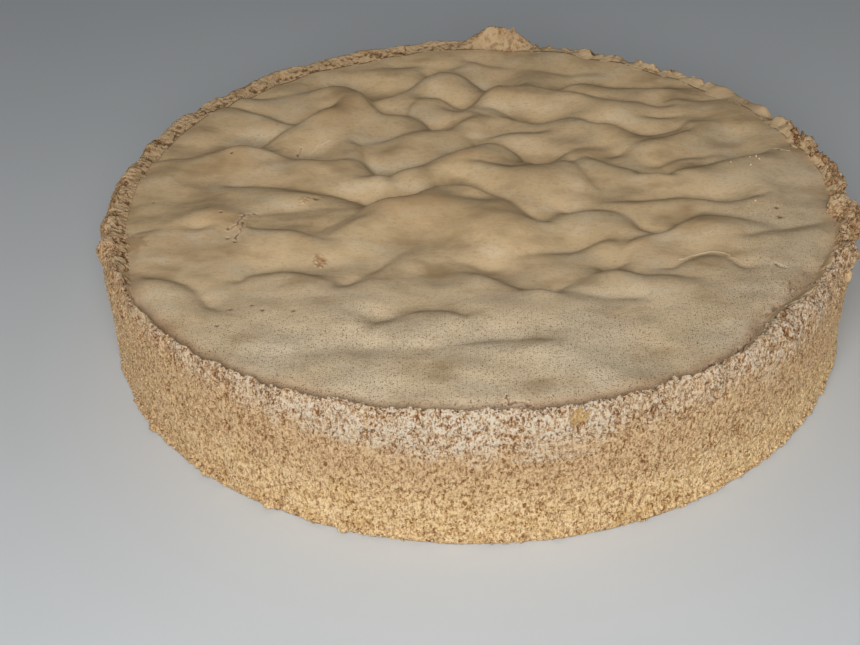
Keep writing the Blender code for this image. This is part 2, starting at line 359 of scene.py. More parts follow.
class Shader:
    # A material whose nodes are added one call at a time

    def __init__(self, name):
        self.material = bpy.data.materials.new(name)
        self.material.use_nodes = True
        self.tree = self.material.node_tree
        self.tree.nodes.clear()

    def add(self, kind, settings=None, sockets=None, output=0):
        node = self.tree.nodes.new("ShaderNode" + kind)
        for key, value in (settings or {}).items():
            setattr(node, key, value)
        for key, value in (sockets or {}).items():
            if isinstance(value, Wire):
                self.tree.links.new(value.socket, node.inputs[key])
            else:
                node.inputs[key].default_value = value
        return Wire(self, node.outputs[output]) if node.outputs else None

    def value(self, name):
        return self.add("Attribute", {"attribute_name": name}, output="Fac")

    def millimetres(self):
        place = self.add("TexCoord", output="Object")
        return self.add("VectorMath", {"operation": "SCALE"}, {0: place, "Scale": 1000.0})

    def squeezed(self, place, factors):
        return self.add("VectorMath", {"operation": "MULTIPLY"}, {0: place, 1: factors})

    def noise(self, place, length, detail=2.0, roughness=0.5):
        sockets = {"Vector": place, "Scale": 1.0 / length, "Detail": detail, "Roughness": roughness}
        return self.add("TexNoise", None, sockets)

    def pinholes(self, place, spacing, widest, least):
        # Round holes of uneven size, seen from above
        sockets = {"Vector": place, "Scale": 1.0 / spacing, "Randomness": 1.0}
        settings = {"voronoi_dimensions": "2D"}
        apart = self.add("TexVoronoi", settings, sockets, output="Distance")
        chance = self.add("TexVoronoi", settings, sockets, output="Color")
        chance = self.add("SeparateColor", None, {0: chance})
        return (((chance - least) * widest - apart) * (14.0 * spacing)).clamped()

    def blend(self, share, first, second):
        settings = {"data_type": "RGBA", "clamp_factor": True}
        return self.add("Mix", settings, {0: share, 6: first, 7: second}, output=2)

    def coats(self, colour, *layers):
        # Each layer is a share, and the colour that it lays over those before it
        for share, layer in layers:
            colour = self.blend(share, colour, layer)
        return colour

    def finish(self, colour, roughness, height, distance, specular=0.3):
        bump = self.add("Bump", None, {"Height": height, "Distance": distance, "Strength": 1.0})
        sockets = {"Base Color": colour, "Roughness": roughness, "Normal": bump}
        sockets["Specular IOR Level"] = specular
        surface = self.add("BsdfPrincipled", None, sockets)
        self.add("OutputMaterial", None, {"Surface": surface})
        return self.material


crumbTints = {
    "golden": (245, 215, 167),
    "yolk": (236, 203, 148),
    # The pit tints are painted shade: the crumb drawn darker in its pits and holes
    "goldenPitShade": (138, 90, 42),
    "darkerTone": (219, 186, 142),
    "darkerTonePitShade": (126, 84, 46),
    "flour": (217, 206, 188),
    "ochre": (208, 172, 112),
    "browned": (194, 154, 108),
    "brownedPitShade": (104, 66, 38),
    "crust": (214, 185, 144),
}


def makeCrumbMaterial():
    tint = linearTints(crumbTints)
    shader = Shader("openCrumb")
    place = shader.millimetres()
    upright = shader.squeezed(place, (1.0, 1.0, 0.55))
    strand = shader.noise(upright, 0.75, roughness=0.6)
    grit = shader.noise(place, 0.42, detail=1.0)
    speck = shader.noise(upright, 0.48, detail=1.0)
    spot = shader.noise(place, 3.0, detail=1.0)
    mottle = shader.noise(place, 7.0)
    # pit darkens the crumb's colour in its pits and holes, as painted shade
    pit = shader.value("pit") * 0.75 + (strand - 0.5) * 2.6 + (grit - 0.5) * 1.5
    pit = (pit + 0.12).clamped()
    crust = shader.value("crust")
    browning = (shader.value("browned") + (mottle - 0.5) * 0.4).clamped()

    # Flour clings to the tips of the crumb and leaves the pits bare
    dusting = 0.50 + (speck - 0.5) * 3.6 - (pit - 0.3) * 1.3 + (mottle - 0.5) * 1.0
    colour = shader.coats(
        tint["golden"],
        ((mottle - 0.4) * 3.0, tint["yolk"]),
        ((spot - 0.58) * 4.0, tint["ochre"]),
        (pit, tint["goldenPitShade"]),
        (shader.value("darkerTone"), shader.blend(pit, tint["darkerTone"], tint["darkerTonePitShade"])),
        (browning, shader.blend(pit, tint["browned"], tint["brownedPitShade"])),
        (shader.value("flour") * dusting.clamped(), tint["flour"]),
        (shader.value("bowl") * (1.0 - pit * 0.4), tint["ochre"]),
        (crust, tint["crust"]),
    )
    height = (strand * -0.8 + grit * -0.35 + speck * 0.3) * (1.0 - crust * 0.8)
    return shader.finish(colour, 0.9, height, 0.55 * mm, specular=0.2)


skinTints = {
    "tan": (218, 189, 145),
    "warm": (225, 194, 151),
    "pale": (238, 219, 186),
    # This tint is painted shade in the broad patches, and the skin's own brown in the fine specks
    "shadeAndSpeck": (178, 150, 111),
    "browned": (184, 146, 100),
    # Edge band and groove line: partly browning, partly painted shade where the skin dips under the lip
    "edge": (182, 146, 112),
    "groove": (148, 107, 71),
    # Dark brown of pinholes, tears and pits: painted shade in them
    "holeShade": (118, 67, 33),
    "patch": (158, 112, 70),
    "flake": (236, 218, 188),
}


def makeSkinMaterial():
    tint = linearTints(skinTints)
    shader = Shader("bakedSkin")
    place = shader.millimetres()
    broad = shader.noise(place, 34.0)
    drawn = shader.squeezed(place, (0.55, 1.0, 1.0))
    # Broad soft patches, paler and darker: painted light and painted shade that stand in for the
    # shading of a soft relief
    litAndShadedPatches = shader.noise(drawn, 12.0, detail=3.0, roughness=0.55)
    mottle = shader.noise(place, 6.0, detail=3.0, roughness=0.6)
    fine = shader.noise(drawn, 1.0, detail=3.0, roughness=0.7)
    speckle = shader.noise(place, 0.38, detail=1.0)
    # The front of the skin is painted paler: painted light where the lamp in front falls strongest
    paintedFrontLight = shader.value("paintedFrontLight")
    browning = (shader.value("crest") + (mottle - 0.5) * 0.8 - paintedFrontLight * 0.45).clamped()

    # Pinholes: a few wide ones among many narrow ones, painted dark as the shade inside them
    pores = shader.value("pores")
    wide = shader.pinholes(place, 4.4, pores * 0.09, 0.35)
    narrow = shader.pinholes(place, 1.1, pores * 0.28, 0.2)
    finest = shader.pinholes(place, 0.6, pores * 0.44, 0.2)
    hole = (wide + narrow * 0.85 + finest * 0.75).clamped()
    colour = shader.coats(
        tint["tan"],
        ((broad - 0.4) * 3.0, tint["warm"]),
        (paintedFrontLight, tint["pale"]),
        # Paler and darker patches: painted light and painted shade
        ((0.47 - litAndShadedPatches) * 3.0, tint["pale"]),
        ((litAndShadedPatches - 0.53) * (5.0 - paintedFrontLight * 2.5), tint["shadeAndSpeck"]),
        (browning, tint["browned"]),
        # Brown edge band and darker groove line: partly browning, partly painted shade where the skin
        # dips under the lip
        (shader.value("edge") * (0.5 + mottle * 0.6), tint["edge"]),
        (shader.value("groove"), tint["groove"]),
        ((fine - 0.52) * 2.4, tint["browned"]),
        ((speckle - 0.55) * (1.2 + pores * 3.4), tint["shadeAndSpeck"]),
        (shader.value("patch"), tint["patch"]),
        (shader.value("flake"), tint["flake"]),
        # Pinholes, tears and pits painted dark, as shade in them
        ((hole * 0.85 + shader.value("tearAndPitShade")).clamped(), tint["holeShade"]),
    )
    height = fine * 0.5 - hole * 0.4
    roughness = 0.6 + mottle * 0.3
    return shader.finish(colour, roughness, height, 0.22 * mm, specular=0.35)


crumbMaterial = makeCrumbMaterial()
skinMaterial = makeSkinMaterial()
print("materials made")


def turnedSheet(columns, rows):
    # A closed drum of radius 1 and height 1, the column and row of each vertex in it,
    # and the bearing and the share of the way up for each column and row
    sheet = bmesh.new()
    bmesh.ops.create_grid(sheet, x_segments=columns, y_segments=rows, size=1.0)
    seam = [vert for vert in sheet.verts if abs(vert.co.x) > 0.99999]
    for vert in sheet.verts:
        turn = math.pi * (vert.co.x + 1.0)
        vert.co = (math.cos(turn), math.sin(turn), 0.5 * (vert.co.y + 1.0))
    bmesh.ops.remove_doubles(sheet, verts=seam, dist=1e-5)
    for level in (0.0, 1.0):
        ends = [edge for edge in openEdges(sheet) if abs(edge.verts[0].co.z - level) < 1e-4]
        bmesh.ops.edgeloop_fill(sheet, edges=ends)
    bmesh.ops.recalc_face_normals(sheet, faces=sheet.faces)
    mesh = toMesh("drum", sheet)
    places = getPlaces(mesh)
    turn = np.arctan2(places[:, 1], places[:, 0]) / (2.0 * math.pi)
    column = np.rint(turn * columns).astype(int) % columns
    row = np.rint(places[:, 2] * rows).astype(int)
    bearing = np.arange(columns)[:, None] * 2.0 * math.pi / columns + np.zeros((1, rows + 1))
    along = np.arange(rows + 1)[None, :] / rows + np.zeros((columns, 1))
    return mesh, (column, row), bearing, along


def getPlaces(mesh):
    places = np.empty(len(mesh.vertices) * 3)
    mesh.vertices.foreach_get("co", places)
    return places.reshape(-1, 3)


def placeVertices(mesh, places):
    mesh.vertices.foreach_set("co", (places * mm).astype(np.float32).ravel())
    mesh.update()


def finishDrum(name, mesh, cell, placed, values):
    placeVertices(mesh, placed[cell])
    setValues(mesh, {key: numbers[cell] for key, numbers in values.items()})
    newPiece(name, mesh, crumbMaterial)


def insideBox(places, margin):
    # Keeps places inside the size of the solid
    return np.clip(places, np.array(cadLow) / mm + margin, np.array(cadHigh) / mm - margin)


crumbSettings = {
    "columns": 1900,
    "sideRows": 46,
    "rimRows": 50,
    "split": 19.0,  # height where the lower side meets the upper
    "seam": 38.0,  # height where the rim takes over from the side
    "stretch": 1.6,  # the crumb is drawn upwards by this much
    "grain": 0.95,
    "grainDepth": 0.32,
    "gap": 1.3,
    "gapDepth": 0.55,
    "hollow": 6.5,
    "hollowDepth": 0.5,
}

# Larger holes that show in the side: bearing, height, half width, depth
shownHoles = [
    (283, 45.6, 3.4, 1.7), (287.9, 44.6, 1.2, 1), (293.2, 42.9, 1.7, 1.4),
    (316.1, 43, 1.3, 1.2), (316.4, 47.6, 1.6, 1.6), (320.8, 46.8, 1.4, 1.6),
    (318.1, 49, 0.9, 1), (218.4, 45.6, 0.9, 1.2), (221.7, 44.6, 1.8, 1.8),
    (225.6, 43.6, 1.6, 1.7), (227.2, 42, 1.2, 1.5), (235.7, 42.9, 1.4, 1.2),
    (242.3, 45, 1.5, 1.2), (229.8, 18.4, 1.5, 1.2), (234.7, 27, 1.3, 1),
    (237.5, 31.9, 1.2, 1),
]


def bowlAt(places):
    # The largest hole is smooth and yellow inside
    holeBearing, height, size, _ = shownHoles[0]
    apart = np.radians(turnApart(bearingOf(places), holeBearing))
    reach = np.hypot(apart * cakeForm["tinRadius"], (places[..., 2] - height) * 0.9) / size
    return smoothStep(3.0 * (1.05 - reach + 0.25 * noiseAt(places, 2.0, 49.0)))


def crumbRelief(places):
    # How far the open crumb lies inside the tin's face, and how much of a pit each place is
    form = crumbSettings
    tall = places * (1.0, 1.0, 1.0 / form["stretch"])
    grain = cellDistance(tall, form["grain"], 3.0)
    gap = noiseAt(tall, form["gap"], 11.0)
    fine = noiseAt(tall, form["gap"] * 0.45, 12.0)
    cluster = noiseAt(places, 9.0, 13.0)
    opened = smoothStep((gap * 0.8 + fine * 0.7 + cluster * 0.15 - 0.02) / 0.42)
    hollow = smoothStep((0.26 - cellDistance(tall, form["hollow"], 14.0)) / 0.12)
    depth = form["grainDepth"] * grain + form["gapDepth"] * opened + form["hollowDepth"] * hollow
    # The materials paint the pit share darker, as shade in the pits
    pit = 0.35 * grain + 0.55 * opened + 0.3 * hollow
    radius = np.hypot(places[..., 0], places[..., 1])
    bearing = bearingOf(places)
    for holeBearing, height, size, holeDepth in shownHoles:
        apart = np.radians(turnApart(bearing, holeBearing))
        reach = np.hypot(apart * radius, (places[..., 2] - height) / form["stretch"]) / size
        share = smoothStep(1.6 * (1.0 - reach)) * (radius > 125.0)
        depth += holeDepth * share
        pit += 0.75 * share
    return depth, clipped(pit)


# Where flour clings: bearing, lowest height, strength
flourStops = np.array([
    (-90, 32, 1), (-80, 32.5, 0.95), (-70, 37, 0.7), (-55, 38, 0.65),
    (-40, 38, 0.75), (-25, 41, 0.65), (-10, 45, 0.25), (20, 46, 0.1),
    (90, 46, 0.1), (170, 46, 0.1), (195, 45, 0.3), (212, 43.5, 0.5),
    (228, 41.5, 0.65), (243, 36.5, 0.7), (256, 32.5, 0.95), (270, 32, 1),
])

# A crisp line of flour: first bearing, bearings covered, height and half width
flourLine = {"start": -85.5, "length": 11.5, "height": 32.0, "halfWidth": 0.5}


def flourAt(turn, height, ragged):
    lowest = stopsAt(turn, flourStops[:, 0], flourStops[:, 1])
    strength = stopsAt(turn, flourStops[:, 0], flourStops[:, 2])
    dusted = strength * smoothStep((height + ragged * 6.0 - lowest + 3.0) / 11.0)
    along = (fromFront(turn) - flourLine["start"]) / flourLine["length"]
    line = bell((height - flourLine["height"] + 0.4 * ragged) / flourLine["halfWidth"])
    line = line * (along > 0) * (along < 1)
    return np.maximum(dusted, 0.9 * line)


def brownedAt(turn, height):
    # The rim is browned where it stands up, most at the back and the right
    bearings = (-90, -45, -25, 0, 90, 180, 205, 230, 270)
    strength = stopsAt(turn, bearings, (0.1, 0.15, 0.6, 0.95, 0.85, 0.75, 0.6, 0.2, 0.1))
    return strength * smoothStep((height - 40.0) / 7.0)


# The crumb is drawn darker towards the top of the side and on the left, and over the whole rim
def darkerToneAt(turn, height, ragged):
    leftness = smoothStep((-np.cos(np.radians(turn)) - 0.35) / 0.5)
    return np.maximum(smoothStep((height - 9.0 + 5.0 * ragged) / 20.0), 0.7 * leftness)


def crumbValues(turn, height, ragged, pit):
    return {
        "pit": pit,
        "flour": flourAt(turn, height, ragged),
        "browned": brownedAt(turn, height),
        "darkerTone": darkerToneAt(turn, height, ragged),
        "crust": np.zeros_like(pit),
    }


def sideBase(bearing, height):
    # The tin's face: it draws in a little towards the base
    form = cakeForm
    radius = form["footRadius"] + (form["tinRadius"] - form["footRadius"]) * height / form["wallTop"]
    swell = noiseAt(onCircle(form["tinRadius"], bearing, height), form["swellLength"], 0.0)
    return onCircle(radius + form["swell"] * swell, bearing, height)


def makeSide(name, low, high):
    form = crumbSettings
    mesh, cell, bearing, along = turnedSheet(form["columns"], form["sideRows"])
    height = low + (high - low) * along
    places = sideBase(bearing, height)
    depth, pit = crumbRelief(places)
    depth = np.where(height < 0.01, 0.5 * depth, depth)
    outward = onCircle(1.0, bearing, 0.0 * bearing)
    ragged = noiseAt(places, 6.0, 21.0)
    values = crumbValues(np.degrees(bearing), height, ragged, pit)
    footCrust = 0.35 * smoothStep((2.5 + 4.0 * ragged - height) / 3.0)
    values["browned"] = np.maximum(values["browned"], footCrust)
    finishDrum(name, mesh, cell, places - outward * depth[..., None], values)


rimSettings = {
    "wallShare": 0.28,  # share of the rim's rows on the upright part
    "plungeShare": 0.10,  # share of them that dive under the skin
    "fineCrag": 0.6,
    "fineCragLength": 3.6,
    "footRagged": 1.0,
    "lobeLength": 11.0,  # the rim is torn into lobes, with clefts between them
    "lobeReach": 1.9,
    "chipLength": 4.2,
    "chipShare": 0.35,
    "cleftDepth": 2.2,
    "lidLevel": 38.4,
    "dive": 2.5,  # how far inwards it runs under the skin
    "agedRise": 0.7,
    "spot": 195.5,  # bearing of a brown spot that crosses from the skin to the lip
    "spotWidth": 3.0,
}


def tornAt(turn):
    # How torn the rim's crumb is: most at the right, least at the left, where skin covers it
    bearings = (-90, -55, -35, -18, 18, 26, 40, 47, 66, 78, 100, 150, 175, 200, 235, 270)
    torn = (0.45, 0.45, 0.3, 1, 1, 0.15, 0.15, 0.7, 0.5, 0.35, 0.2, 0.15, 0.25, 0.3, 0.45, 0.45)
    return stopsAt(turn, bearings, torn)


def coverAt(turn):
    # Share of the lip, from its inner foot outwards, that skin covers
    bearings = (-90, -40, -28, -18, 18, 26, 40, 47, 60, 78, 82, 87, 100, 150, 175, 205, 225, 270)
    cover = (0.3, 0.3, 0.6, 0.4, 0.4, 1, 1, 0.75, 0.85, 0.85, 0.55, 0.8, 1, 0.85, 0.65, 0.6, 0.45, 0.3)
    return stopsAt(turn, bearings, cover)


def agedAt(turn):
    # At the back and the left the lip is rough and browned, as if baked longest
    return stopsAt(turn, (72, 80, 92, 104, 200, 215), (0.0, 0.6, 0.6, 1.0, 1.0, 0.0))


def makeRim():
    form, rim = cakeForm, rimSettings
    columns, rows = crumbSettings["columns"], crumbSettings["rimRows"]
    mesh, cell, bearing, along = turnedSheet(columns, rows)
    turn = np.degrees(bearing)
    skinRadius, crest, craggy = rimAt(turn)
    rise, lean = cragAt(turn)
    torn, cover = tornAt(turn), coverAt(turn)

    # Over the lip, share runs from 1 at the shoulder to 0 at the skin
    start, end = rim["wallShare"], 1.0 - rim["plungeShare"]
    share = clipped((end - along) / (end - start))
    width = form["tinRadius"] - skinRadius
    smoothRadius = skinRadius + width * share
    x, y = smoothRadius * np.cos(bearing), smoothRadius * np.sin(bearing)
    wobble = planNoise(x, y, form["cragLength"], 3)
    fineWobble = planNoise(x, y, rim["fineCragLength"], 5)
    radius = smoothRadius + craggy * form["cragLean"] * wobble + lean * share
    aged = agedAt(turn)
    footRagged = craggy * torn + 0.5 * aged
    radius += 0.5 * rim["footRagged"] * footRagged * fineWobble * (1.0 - 0.5 * share)
    lobes = planNoise(x, y, rim["lobeLength"], 41)
    chips = planNoise(x, y, rim["chipLength"], 42)
    cleft = bell(lobes / 0.06) + rim["chipShare"] * bell(chips / 0.09)
    reach = np.tanh(4.0 * lobes) + rim["chipShare"] * np.tanh(4.0 * chips) - 0.4
    radius += torn * rim["lobeReach"] * reach * share
    floor = skinHeight(x, y, radius)
    calm = 0.6 + 0.4 * torn
    crest = crest + rise + calm * craggy * form["cragHeight"] * planNoise(x, y, form["cragLength"], 4)
    crest += torn * rim["fineCrag"] * planNoise(x, y, rim["fineCragLength"], 6)
    crest -= torn * rim["cleftDepth"] * cleft
    crest += rim["agedRise"] * aged * np.tanh(2.5 * planNoise(x, y, 9.0, 55))
    climb = 0.5 + 0.4 * smoothStep(cover * 1.6 - 0.6)
    height = floor + (crest - floor) * smoothStep(share / climb)
    height -= form["shoulderDrop"] * np.maximum(0.0, (share - 0.5) / 0.5) ** 2
    places = onCircle(radius, bearing, height)

    # Below the shoulder the rim runs down to the seam with the side
    shoulder = places[:, [int(round(start * rows))], :]
    seam = sideBase(bearing[:, :1], np.full((columns, 1), crumbSettings["seam"]))
    inwards = smoothStep(along / start)
    wall = np.stack((inwards, inwards, clipped(along / start)), axis=-1)
    places = np.where(along[..., None] < start, seam + (shoulder - seam) * wall, places)

    # Past the skin's edge it dives out of sight
    plunge = clipped((along - end) / (1.0 - end))
    shown = 1.0 - smoothStep(plunge / 0.6)
    places -= onCircle(rim["dive"] * plunge, bearing, 0.0 * bearing)
    places[..., 2] += (rim["lidLevel"] - places[..., 2]) * smoothStep(plunge)

    alongTangent = np.gradient(places, axis=1)
    roundTangent = np.roll(places, -1, axis=0) - np.roll(places, 1, axis=0)
    outward = np.cross(roundTangent, alongTangent)
    outward /= np.maximum(np.linalg.norm(outward, axis=-1, keepdims=True), 1e-9)
    flat = onCircle(1.0, bearing, 0.0 * bearing)
    outward = flat + (outward - flat) * smoothStep(along / 0.05)[..., None]
    depth, pit = crumbRelief(places)

    # Skin covers the lip up to a ragged edge, and torn crumb shows past it
    edge = cover + 0.5 * planNoise(x, y, 6.0, 43) + 0.22 * planNoise(x, y, 2.5, 45)
    crust = smoothStep((edge - share) / 0.14) * (1.0 - 0.7 * clipped(torn * cleft))
    crust = crust * smoothStep((along / start - 0.85 + 0.3 * planNoise(x, y, 4.0, 56)) / 0.2)
    depth = depth * (1.0 - (0.9 - 0.12 * aged) * crust) * (1.0 + 0.5 * torn)
    depth = depth - 0.35 * torn * noiseAt(places, 2.2, 44.0) + 0.38 * aged * noiseAt(places, 4.2, 53.0)
    # At the lip's foot, pits that are dented and painted darker, as shade in them
    foot = aged * smoothStep((0.65 - share) / 0.35)
    pitted = foot * smoothStep((noiseAt(places, 1.8, 52.0) - 0.1) / 0.12)
    depth += 0.4 * pitted
    plain, _ = crumbRelief(places)
    depth = (plain + (depth - plain) * smoothStep(along / 0.12)) * shown
    stained = smoothStep((noiseAt(places, 9.0, 46.0) - 0.1) / 0.25) * smoothStep((share - 0.15) / 0.3)
    stained = np.maximum(stained, foot * (0.55 + 0.8 * noiseAt(places, 5.0, 54.0)))
    speckled = aged * smoothStep((noiseAt(places, 1.3, 57.0) - 0.12) / 0.15)
    stained = np.maximum(stained, 0.8 * speckled)
    depth += 0.25 * speckled * shown
    spot = bell((turn - rim["spot"]) / rim["spotWidth"])
    stained = np.clip(np.maximum(stained, 1.3 * spot), 0.0, 1.3)
    bowl = bowlAt(places)
    depth = depth * (1.0 - 0.75 * bowl) + 0.6 * bowl
    ragged = noiseAt(places, 6.0, 21.0)
    values = {
        "bowl": bowl * (0.75 + 0.5 * noiseAt(places, 1.6, 48.0)),
        "pit": clipped(pit * (1.0 + 0.5 * torn) * (1.0 - 0.6 * crust) + 0.9 * pitted),
        "flour": flourAt(turn, places[..., 2], ragged),
        "browned": brownedAt(turn, places[..., 2]),
        "darkerTone": np.ones_like(pit),
        "crust": 0.95 * crust * (1.0 - 0.6 * stained) * (1.0 - 0.8 * pitted),
    }
    placed = insideBox(places - outward * depth[..., None], 0.05)
    finishDrum("crumbRim", mesh, cell, placed, values)
    onLip = (along > 0.05) & (along < end)
    return placed[onLip], outward[onLip], crust[onLip]


makeSide("crumbFoot", 0.0, crumbSettings["split"])
makeSide("crumbSide", crumbSettings["split"], crumbSettings["seam"])
print("side made")
lipPlaces, lipOutward, lipCrust = makeRim()
print("rim made")


def scatterPiece(name, places, outward, sizes, jitter, values, seed):
    # One small uneven lump at each place, all of them joined in one mesh
    rng = np.random.default_rng(seed)
    ball = bmesh.new()
    bmesh.ops.create_icosphere(ball, subdivisions=1, radius=1.0)
    corners = np.array([vert.co[:] for vert in ball.verts])
    sides = np.array([[vert.index for vert in face.verts] for face in ball.faces])
    ball.free()
    count = len(places)
    outward = unit(outward)
    across = unit(np.cross(outward, rng.normal(size=(count, 3))))
    frames = np.stack((across, np.cross(outward, across), outward), axis=-1)
    bulge = 1.0 + jitter * rng.uniform(-1.0, 1.0, (count, len(corners), 1))
    local = corners[None, :, :] * sizes[:, None, :] * bulge
    spread = places[:, None, :] + np.einsum("nij,nkj->nki", frames, local)
    spread[..., 2] = np.maximum(spread[..., 2], 0.02)
    spread = insideBox(spread.reshape(-1, 3), 0.02) * mm
    faces = sides[None, :, :] + len(corners) * np.arange(count)[:, None, None]
    mesh = bpy.data.meshes.new(name)
    mesh.from_pydata(spread.tolist(), [], faces.reshape(-1, 3).tolist())
    mesh.update()
    setValues(mesh, {key: np.repeat(numbers, len(corners)) for key, numbers in values.items()})
    newPiece(name, mesh, crumbMaterial)


def lumpValues(turn, height, rng, pit=0.15):
    ragged = rng.uniform(-0.4, 0.4, len(turn))
    pits = clipped(pit + rng.normal(0.0, 0.12, len(turn)))
    return crumbValues(turn, height, ragged, pits)


grainSettings = {
    "sideCount": 3600,
    "sideSize": (0.30, 0.62),
    "footCount": 1500,
    "footSize": (0.45, 1.5),
    "clusterCount": 46,
    "clusterSize": (0.6, 1.3),
    "clusterSpread": 0.013,
    "clusterHeight": 3.2,
    "rimCount": 1500,
    "rimSize": (0.28, 0.95),
    "flakeCount": 220,
    "flakeSize": (1.2, 2.8),
}


def makeSideGrains():
    form = grainSettings
    rng = np.random.default_rng(11)
    bearing = rng.uniform(-math.pi, math.pi, form["sideCount"])
    height = rng.uniform(0.8, 37.5, form["sideCount"])
    places = sideBase(bearing, height)
    depth, _ = crumbRelief(places)
    outward = onCircle(1.0, bearing, 0.0 * bearing)
    size = rng.uniform(*form["sideSize"], form["sideCount"])
    places = places - outward * (depth + 0.15 * size)[:, None]
    outward[:, 2] = rng.normal(0.0, 0.3, len(size))
    sizes = size[:, None] * rng.uniform(0.75, 1.25, (len(size), 3))
    values = lumpValues(np.degrees(bearing), height, rng)
    scatterPiece("crumbGrains", places, outward, sizes, 0.25, values, 12)


# Ragged clusters at the foot: bearing, and how far out each reaches
footClusters = [(216, 2.2), (229.2, 2.6), (240.8, 3), (252.3, 3), (262, 1.4), (273.8, 1.2)]


def makeFootCrumbs():
    # Golden crumbs cling in clusters along the bottom edge
    form = grainSettings
    rng = np.random.default_rng(21)
    bearing = rng.uniform(-math.pi, math.pi, 4 * form["footCount"])
    cluster = planNoise(130.0 * np.cos(bearing), 130.0 * np.sin(bearing), 7.0, 51)
    for middle, _ in footClusters:
        apart = np.angle(np.exp(1j * (bearing - math.radians(middle))))
        cluster += 0.6 * bell(apart / 0.02)
    chance = np.clip(0.3 + 2.4 * cluster, 0.05, 1.0)
    bearing = bearing[rng.uniform(size=len(bearing)) < chance][:form["footCount"]]
    low, high = form["footSize"]
    size = low + (high - low) * rng.uniform(size=len(bearing)) ** 2.5
    height = 1.15 * size + rng.exponential(1.1, len(bearing))
    radius = np.minimum(cakeForm["footRadius"] + rng.uniform(-0.5, 0.7, len(bearing)), 129.8 - size)
    for middle, reach in footClusters:
        count = form["clusterCount"]
        spread = rng.normal(0.0, 0.9, count)
        bearing = np.append(bearing, math.radians(middle) + form["clusterSpread"] * spread)
        size = np.append(size, rng.uniform(*form["clusterSize"], count))
        high = rng.uniform(0.3, 1.0, count) * np.exp(-(spread**2) / 2.0)
        height = np.append(height, 0.5 + form["clusterHeight"] * high)
        radius = np.append(radius, 128.0 + reach * rng.uniform(0.0, 1.0, count) * bell(spread))
    places = onCircle(radius, bearing, height)
    outward = places * (1.0, 1.0, 0.0) / radius[:, None]
    sizes = size[:, None] * rng.uniform(0.8, 1.15, (len(size), 3))
    values = lumpValues(np.degrees(bearing), height, rng, 0.25)
    scatterPiece("footCrumbs", places, outward, sizes, 0.22, values, 22)


def makeRimCrumbs():
    # Loose crumbs and torn flakes stand on the craggy stretches of the rim
    form = grainSettings
    rng = np.random.default_rng(31)
    for name, count, size, flat, calm in (
        ("rimCrumbs", form["rimCount"], form["rimSize"], 0.9, 0.25),
        ("rimFlakes", form["flakeCount"], form["flakeSize"], 0.3, 0.65),
    ):
        chance = clipped(tornAt(bearingOf(lipPlaces)) - calm) * (lipCrust < 0.6)
        picked = rng.choice(len(lipPlaces), count, replace=False, p=chance / chance.sum())
        places, outward = lipPlaces[picked], lipOutward[picked]
        sizes = size[0] + (size[1] - size[0]) * rng.uniform(size=count) ** 2.0
        sizes = sizes[:, None] * rng.uniform(0.7, 1.2, (count, 3)) * (1.0, 1.0, flat)
        tilt = rng.normal(0.0, 0.35 if flat > 0.5 else 0.6, (count, 3))
        values = lumpValues(bearingOf(places), places[:, 2], rng, 0.3)
        values["crust"] = np.where(rng.uniform(size=count) < 0.5, 0.7, 0.0) * (flat < 0.5)
        scatterPiece(name, places, outward + tilt, sizes, 0.3, values, 32)


rimChunk = {"x": 124.0, "y": -14.6, "level": 47.6, "radius": 3.9, "lumps": 240, "lump": 0.75}


def makeRimChunk():
    # Small lumps packed over a ball, so that it reads as one round piece of torn crumb
    form = rimChunk
    rng = np.random.default_rng(41)
    outward = unit(rng.normal(size=(form["lumps"], 3)))
    centre = np.array((form["x"], form["y"], form["level"]))
    uneven = 1.0 + 0.16 * noiseAt(outward * form["radius"], 3.0, 47.0)
    places = centre + outward * (form["radius"] - 0.5 * form["lump"]) * uneven[:, None]
    sizes = form["lump"] * rng.uniform(0.7, 1.4, (form["lumps"], 3))
    values = lumpValues(np.full(len(places), -7.0), places[:, 2], rng, 0.3)
    values["crust"] = rng.uniform(0.2, 0.9, len(places))
    values["browned"] = 0.35 * values["browned"]

    # One large lump fills the middle
    places = np.concatenate((places, [centre]))
    outward = np.concatenate((outward, [(0.0, 0.0, 1.0)]))
    sizes = np.concatenate((sizes, [3 * [0.88 * form["radius"]]]))
    values = {key: np.append(numbers, 0.6) for key, numbers in values.items()}
    scatterPiece("rimChunk", places, outward, sizes, 0.2, values, 42)


# Loose sugar grains on the skin, at the right
sugarPlaces = [(92.2, 17.7), (101.3, 19), (102.1, 17), (98.4, 13.1), (99.1, 18.6), (96.4, -10.6)]


def makeSugarGrains():
    rng = np.random.default_rng(51)
    flat = np.array(sugarPlaces)
    skinRadius, _, _ = rimAt(bearingOf(flat))
    height = skinHeight(flat[:, 0], flat[:, 1], skinRadius) + 0.2
    places = np.column_stack((flat, height))
    count = len(places)
    values = {key: np.zeros(count) for key in ("pit", "browned", "darkerTone", "crust")}
    values["flour"] = np.ones(count)
    sizes = rng.uniform(0.35, 0.55, (count, 3))
    outward = np.tile((0.0, 0.0, 1.0), (count, 1))
    scatterPiece("sugarGrains", places, outward, sizes, 0.25, values, 52)


makeSideGrains()
makeFootCrumbs()
makeRimCrumbs()
makeRimChunk()
makeSugarGrains()
print("crumbs made")


skinSettings = {
    "cells": 280,
    "tuckIn": 0.9,  # the skin runs under the rim by this much
    "underside": 38.6,
    "lowest": 39.2,  # the deepest hollow eases out above the underside
    "lowestEase": 0.5,
    "ripple": 0.14,
    "rippleLength": 7.0,
    "grain": 0.05,
    "grainLength": 2.2,
    "tearWobble": 0.9,
    "tearWobbleLength": 1.9,
    "markReach": 1.1,  # the mesh is finer this near to a tear, a pit or a blister
}

